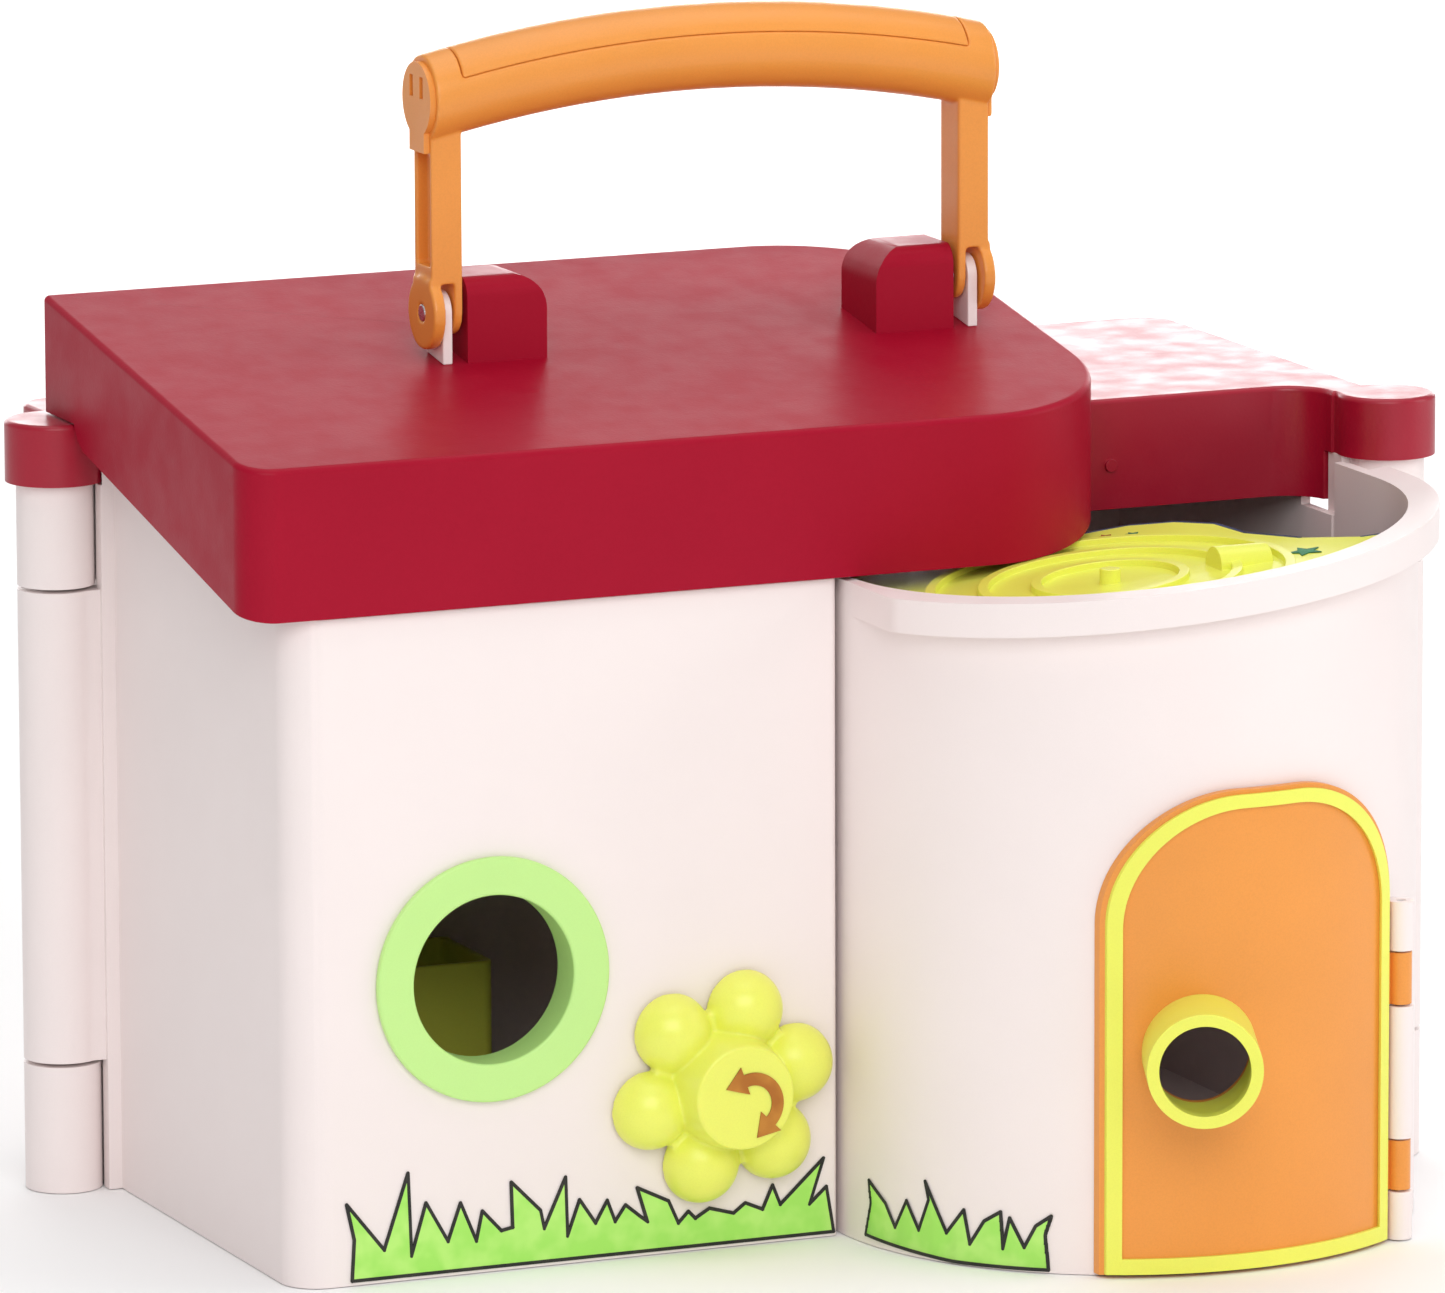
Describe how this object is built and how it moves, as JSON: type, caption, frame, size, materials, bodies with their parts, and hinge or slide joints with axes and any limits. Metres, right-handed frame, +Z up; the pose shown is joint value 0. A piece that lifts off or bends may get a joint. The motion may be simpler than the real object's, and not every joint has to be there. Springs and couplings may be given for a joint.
{
  "type": "toy playhouse",
  "caption": "Fold-out toy playhouse with two hinged wings on a rear house, red roofs, a folding carry handle, an arched door and a turning flower knob.",
  "frame": {"origin": "on the floor plane under the middle between the two hinge lines, at half the depth", "axes": "+X to the right along the front wall, -Y out of the front (door and flower side), +Z up"},
  "size_m": [0.3186, 0.2408, 0.2768],
  "materials": {
    "wall_white": "moulded satin white plastic",
    "roof_red": "moulded semi-gloss deep red plastic",
    "lime": "moulded semi-gloss lime plastic",
    "orange": "moulded semi-gloss orange plastic",
    "ring_green": "pale green moulded plastic",
    "sticker_green": "printed vinyl sticker",
    "sticker_orange": "printed mark",
    "sticker_red": "printed vinyl sticker",
    "sticker_teal": "printed vinyl sticker",
    "blue": "moulded blue plastic",
    "steel": "zinc-plated steel"
  },
  "bodies": {
    "rear_house": {"rear_shell": "wall_white", "rear_roof": "roof_red", "left_hinge_pin": "steel", "right_hinge_pin": "steel", "rear_shelf": "lime", "rear_screws": "steel"},
    "room_wing": {"room_shell": "wall_white", "room_roof": "roof_red", "window_ring": "ring_green", "room_grass": "sticker_green", "handle_post_left": "wall_white", "handle_post_right": "wall_white", "bench": "lime", "room_screws": "steel", "click_spring": "wall_white"},
    "handle": {"handle_frame": "orange", "handle_strip": "orange", "end_cap_left": "orange", "end_cap_right": "orange", "handle_pins": "steel"},
    "flower": {"flower_knob": "lime", "flower_arrow": "sticker_orange", "knob_shaft": "lime", "click_wheel": "lime"},
    "tower_wing": {"tower_shell": "wall_white", "tower_grass": "sticker_green", "tray_base": "blue", "tray": "lime", "tray_stars_green": "sticker_teal", "tray_stars_red": "sticker_red", "door_pin": "steel"},
    "door": {"door_panel": "orange", "door_trim": "lime", "door_knob": "lime"}
  },
  "joints": [
    {"name": "room_swing", "type": "hinge", "parent": "rear_house", "child": "room_wing", "pos_m": [-0.1478, 0.09223, 0], "axis": [0, 0, -1], "range_deg": [0, 180]},
    {"name": "tower_swing", "type": "hinge", "parent": "rear_house", "child": "tower_wing", "pos_m": [0.1478, -0.00167, 0], "axis": [0, 0, 1], "range_deg": [0, 180]},
    {"name": "handle_fold", "type": "hinge", "parent": "room_wing", "child": "handle", "pos_m": [-0.0086, 0.03633, 0.20958], "axis": [1, 0, 0], "range_deg": [-78, 94]},
    {"name": "flower_turn", "type": "hinge", "parent": "room_wing", "child": "flower", "pos_m": [-0.0326, -0.02717, 0.038], "axis": [0, -1, 0], "range_deg": [0, 90]},
    {"name": "door_swing", "type": "hinge", "parent": "tower_wing", "child": "door", "pos_m": [0.11261, -0.08195, 0], "axis": [0, 0, 1], "range_deg": [0, 100]}
  ]
}
